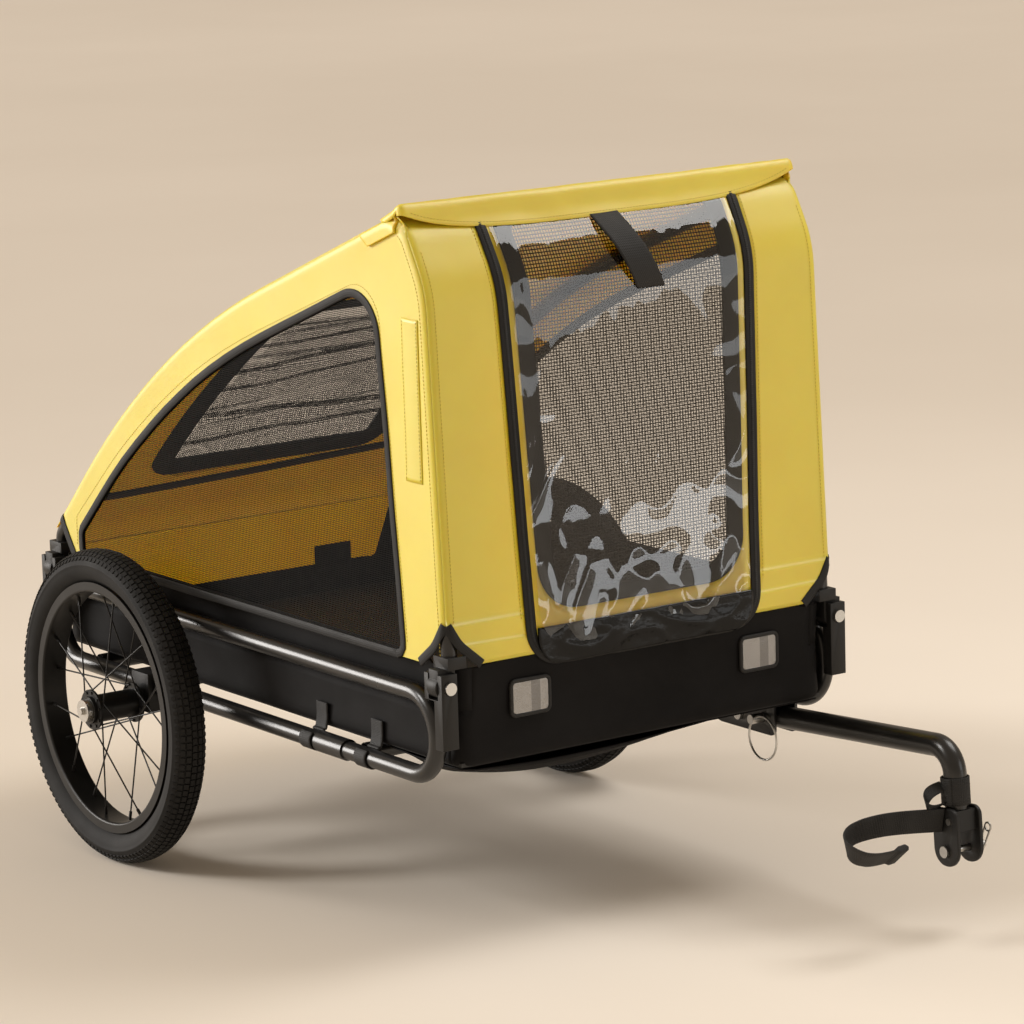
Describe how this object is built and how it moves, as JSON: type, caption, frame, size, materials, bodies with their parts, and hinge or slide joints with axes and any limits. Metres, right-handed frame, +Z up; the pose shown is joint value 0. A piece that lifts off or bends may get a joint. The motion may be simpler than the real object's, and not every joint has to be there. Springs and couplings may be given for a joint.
{
  "type": "dog bike trailer",
  "caption": "Two-wheeled dog trailer for a bicycle: sail-shaped folding cloth cabin with mesh windows, zip door with clear window, black rail frame and side tow bar.",
  "frame": {"origin": "on the floor under the middle of the outer box", "axes": "+Z up, the door and tow bar face -Y, +X is the trailer's left, the tow bar's side"},
  "size_m": [0.7836, 1.2188, 0.8844],
  "materials": {
    "tyre": "matte rubber with a block tread and smooth walls",
    "tube_rubber": "thin dull rubber",
    "wheel_black": "satin black moulding",
    "spoke_black": "black coated wire",
    "steel": "zinc plated, satin",
    "axle_steel": "turned steel, satin",
    "frame_black": "satin black powder coat",
    "bracket_black": "black glass-filled moulding",
    "cover_yellow": "coated yellow cloth, faint sheen",
    "mesh_black": "fine black mesh",
    "mesh_grey": "grey woven mesh",
    "door_black": "black coated cloth",
    "vinyl_clear": "clear film with soft wrinkles",
    "zip_black": "coil zip on black tape",
    "tub_black": "heavy black coated cloth",
    "board_black": "fluted board under cloth",
    "reflective": "silver-grey reflective patch",
    "webbing_black": "ribbed webbing",
    "hem_fibre": "springy fibre rod",
    "wire_steel": "bright spring wire"
  },
  "bodies": {
    "chassis": {"left_rail_loop": "frame_black", "right_rail_loop": "frame_black", "axles": "axle_steel", "rail_splices": "frame_black", "front_cross_tube": "frame_black", "axle_cross_tube": "frame_black", "rear_cross_tube": "frame_black", "axle_receivers": "bracket_black", "hinge_bases": "bracket_black", "hinge_bolts": "steel", "roof_panel": "cover_yellow", "roof_mesh": "mesh_black", "front_panel": "cover_yellow", "door_zips": "zip_black", "tub": "tub_black", "floor_board": "board_black", "reflectors": "reflective", "rail_tabs": "webbing_black", "tow_receiver": "frame_black", "tow_pivot_bolt": "steel"},
    "left_wheel": {"left_tyre": "tyre", "left_inner_tube": "tube_rubber", "left_rim": "wheel_black", "left_hub": "wheel_black", "left_spokes": "spoke_black", "left_bearings": "axle_steel"},
    "right_wheel": {"right_tyre": "tyre", "right_inner_tube": "tube_rubber", "right_rim": "wheel_black", "right_hub": "wheel_black", "right_spokes": "spoke_black", "right_bearings": "axle_steel"},
    "left_button": {"left_axle_button": "axle_steel"},
    "right_button": {"right_axle_button": "axle_steel"},
    "left_side": {"left_side_tube": "frame_black", "left_knuckles": "bracket_black", "left_side_panel": "cover_yellow", "left_side_mesh": "mesh_black"},
    "right_side": {"right_side_tube": "frame_black", "right_knuckles": "bracket_black", "right_side_panel": "cover_yellow", "right_side_mesh": "mesh_black", "flag_sleeve": "cover_yellow"},
    "cover_top": {"hem_rod": "hem_fibre", "top_hem": "cover_yellow", "corner_tabs": "cover_yellow"},
    "door": {"door_panel": "door_black", "door_mesh": "mesh_grey", "door_window": "vinyl_clear", "roll_strap": "webbing_black"},
    "tow_bar": {"tow_bar": "frame_black", "coupler_stem": "bracket_black", "coupler_plates": "bracket_black", "coupler_rivets": "steel", "strap_wrap": "webbing_black", "safety_strap": "webbing_black"},
    "lock_pin": {"lock_pin": "steel"},
    "lock_bail": {"lock_bail": "wire_steel"},
    "hitch_pin": {"hitch_pin": "steel"},
    "hairpin": {"hairpin_clip": "wire_steel"}
  },
  "joints": [
    {"name": "left_wheel_spin", "type": "hinge", "parent": "chassis", "child": "left_wheel", "pos_m": [0.344, 0.35176, 0.2], "axis": [1, 0, 0], "continuous": true},
    {"name": "right_wheel_spin", "type": "hinge", "parent": "chassis", "child": "right_wheel", "pos_m": [-0.344, 0.35176, 0.2], "axis": [1, 0, 0], "continuous": true},
    {"name": "left_button_press", "type": "slide", "parent": "chassis", "child": "left_button", "axis": [-1, 0, 0], "range_m": [0, 0.003], "stiffness_N_per_m": 600},
    {"name": "right_button_press", "type": "slide", "parent": "chassis", "child": "right_button", "axis": [1, 0, 0], "range_m": [0, 0.003], "stiffness_N_per_m": 600},
    {"name": "left_side_fold", "type": "hinge", "parent": "chassis", "child": "left_side", "pos_m": [0.285, 0, 0.333], "axis": [0, -1, 0], "range_deg": [0, 90], "deforming": ["tub", "roof_panel", "roof_mesh", "front_panel", "top_hem", "hem_rod", "corner_tabs", "door_panel", "door_mesh", "door_window", "door_zips", "roll_strap"]},
    {"name": "right_side_fold", "type": "hinge", "parent": "chassis", "child": "right_side", "pos_m": [-0.285, 0, 0.333], "axis": [0, 1, 0], "range_deg": [0, 78]},
    {"name": "cover_top_drop", "type": "slide", "parent": "chassis", "child": "cover_top", "axis": [0, 0, -1], "range_m": [0, 0.3726]},
    {"name": "door_lift", "type": "hinge", "parent": "cover_top", "child": "door", "pos_m": [0, -0.24623, 0.87701], "axis": [-1, 0, 0], "range_deg": [0, 95]},
    {"name": "tow_bar_swing", "type": "hinge", "parent": "chassis", "child": "tow_bar", "pos_m": [0.25, -0.19324, 0.196], "axis": [1, 0, 0], "range_deg": [0, 140]},
    {"name": "lock_pin_pull", "type": "slide", "parent": "chassis", "child": "lock_pin", "axis": [-1, 0, 0], "range_m": [0, 0.06]},
    {"name": "lock_bail_swing", "type": "hinge", "parent": "lock_pin", "child": "lock_bail", "pos_m": [0.2194, -0.23824, 0.19907], "axis": [0, 0.7778, -0.6285], "range_deg": [-10, 80]},
    {"name": "hitch_pin_turn", "type": "hinge", "parent": "tow_bar", "child": "hitch_pin", "pos_m": [0.25, -0.58757, 0.1016], "axis": [1, 0, 0], "continuous": true},
    {"name": "hairpin_pull", "type": "slide", "parent": "hitch_pin", "child": "hairpin", "axis": [0, -0.36, 0.933], "range_m": [0, 0.045]}
  ],
  "couplings": [
    {"joint": "cover_top_drop", "follows": "left_side_fold", "m_per_rad": 0.23708}
  ]
}
